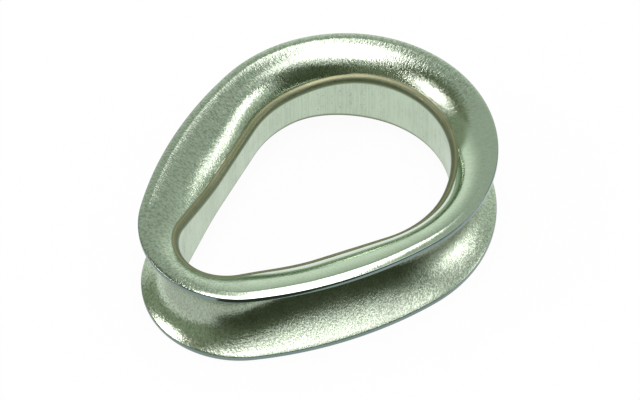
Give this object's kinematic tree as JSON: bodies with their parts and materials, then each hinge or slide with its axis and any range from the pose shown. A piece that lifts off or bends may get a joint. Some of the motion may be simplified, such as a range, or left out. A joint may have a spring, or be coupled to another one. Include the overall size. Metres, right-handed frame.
{
  "type": "thimble eye",
  "caption": "Closed tear-shaped rope thimble pressed from one steel tube: a flared flange on each face, a rope groove round the outside and a through eye for a pin or shackle.",
  "frame": {"origin": "centre of the eye's round end, half way between the two flanges", "axes": "+X out through the round end, the tip at -X, +Z out through the upper flange, +Y to the left of +X"},
  "size_m": [0.0754, 0.0586, 0.019],
  "materials": {
    "bright_steel": "bright drawn steel with a faint green tint, radial stretch marks on the flares and groove"
  },
  "bodies": {
    "root": {"thimble_body": "bright_steel"}
  },
  "joints": []
}
